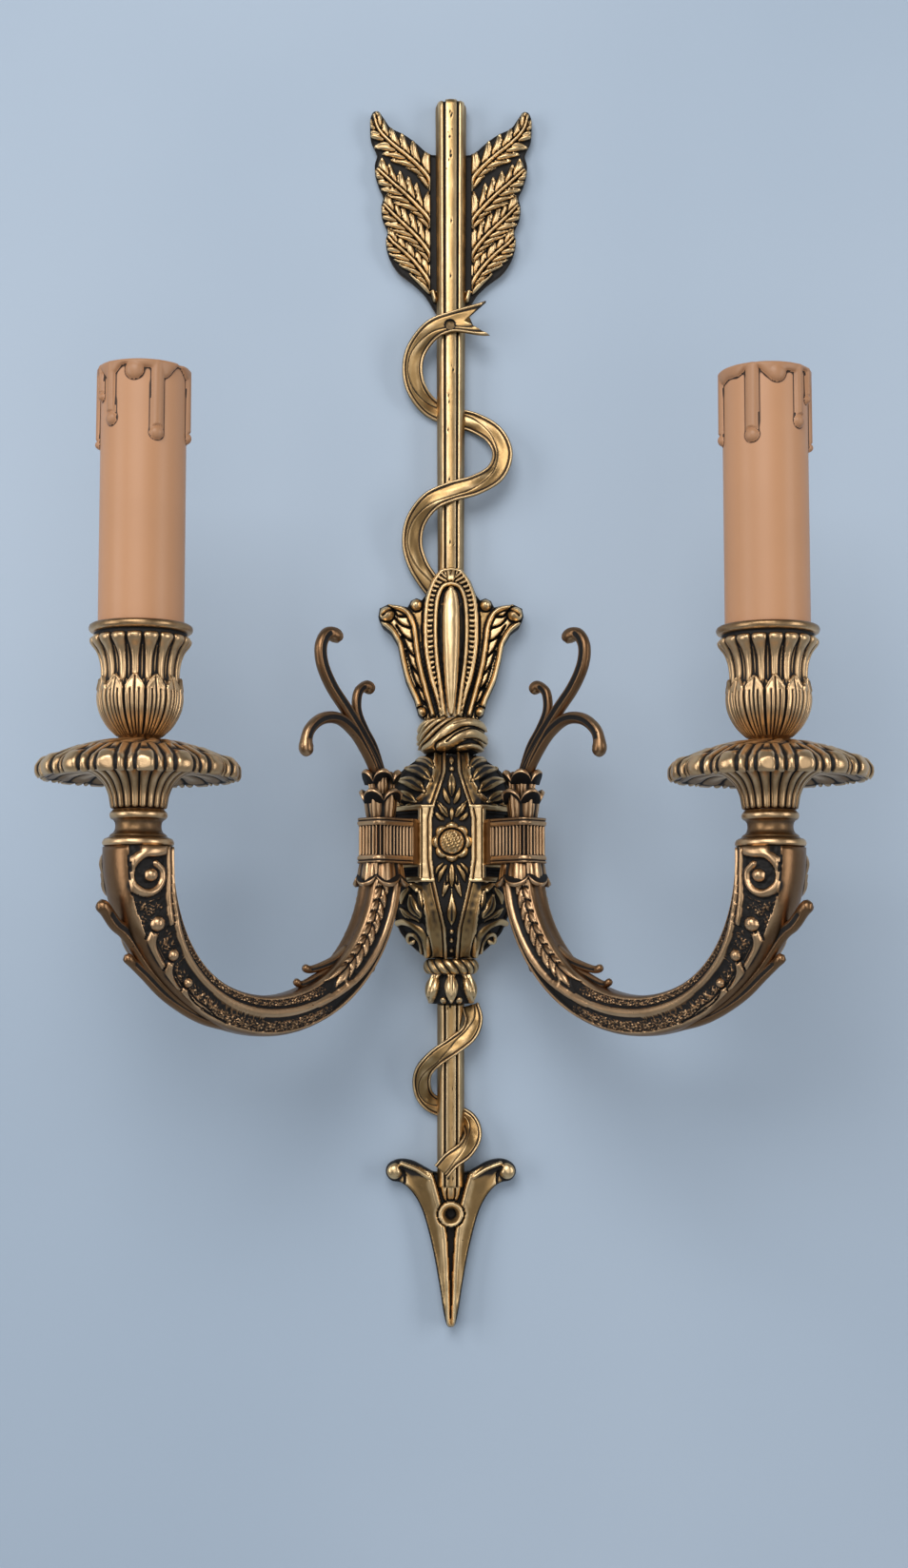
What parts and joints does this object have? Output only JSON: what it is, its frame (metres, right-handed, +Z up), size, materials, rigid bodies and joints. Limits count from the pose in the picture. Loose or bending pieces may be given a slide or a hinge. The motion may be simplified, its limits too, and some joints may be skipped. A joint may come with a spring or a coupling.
{
  "type": "double arm wall sconce",
  "caption": "Neoclassical arrow-and-ribbon wall light: faceted body, a pair of scroll arms with drip dishes, candle cups and lift-off candle sleeves.",
  "frame": {"origin": "on the wall plane, midway between the two wall screw holes", "axes": "+Z up along the arrow, +Y into the wall, +X to the right seen from the room"},
  "size_m": [0.2606, 0.1388, 0.4497],
  "materials": {
    "antique_brass": "aged cast brass, dark patina in the recesses",
    "candle_wax": "satin peach candle sleeve with darker drips",
    "holder_plastic": "dark moulded lampholder",
    "bright_brass": "bright pressed brass",
    "plated_steel": "zinc plated",
    "block_plastic": "pale moulded terminal block"
  },
  "bodies": {
    "light_frame": {"upper_ribbon": "antique_brass", "tulip_finial": "antique_brass", "upper_shaft": "antique_brass", "fletching_right": "antique_brass", "fletching_left": "antique_brass", "knot_collar": "antique_brass", "wall_body": "antique_brass", "rosette": "antique_brass", "rope_ring": "antique_brass", "leaf_collar": "antique_brass", "lower_ribbon": "antique_brass", "lower_shaft": "antique_brass", "arrowhead": "antique_brass", "tie_rod": "plated_steel", "tie_nuts": "plated_steel", "earth_tag": "bright_brass", "terminal_block": "block_plastic", "arm_screws": "plated_steel", "right_arm": "antique_brass", "right_arm_socket": "antique_brass", "right_upper_leaves": "antique_brass", "right_tendril_spray": "antique_brass", "right_lower_leaves": "antique_brass", "right_collar": "antique_brass", "right_drip_dish": "antique_brass", "right_candle_cup": "antique_brass", "right_nipple": "plated_steel", "right_lampholder": "holder_plastic", "right_lamp_contact": "bright_brass", "left_arm": "antique_brass", "left_arm_socket": "antique_brass", "left_upper_leaves": "antique_brass", "left_tendril_spray": "antique_brass", "left_lower_leaves": "antique_brass", "left_collar": "antique_brass", "left_drip_dish": "antique_brass", "left_candle_cup": "antique_brass", "left_nipple": "plated_steel", "left_lampholder": "holder_plastic", "left_lamp_contact": "bright_brass"},
    "right_candle_sleeve": {"right_candle_sleeve": "candle_wax"},
    "left_candle_sleeve": {"left_candle_sleeve": "candle_wax"}
  },
  "joints": [
    {"name": "right_candle_sleeve_lift", "type": "slide", "parent": "light_frame", "child": "right_candle_sleeve", "axis": [0, 0, 1], "range_m": [0, 0.09]},
    {"name": "left_candle_sleeve_lift", "type": "slide", "parent": "light_frame", "child": "left_candle_sleeve", "axis": [0, 0, 1], "range_m": [0, 0.09]}
  ]
}
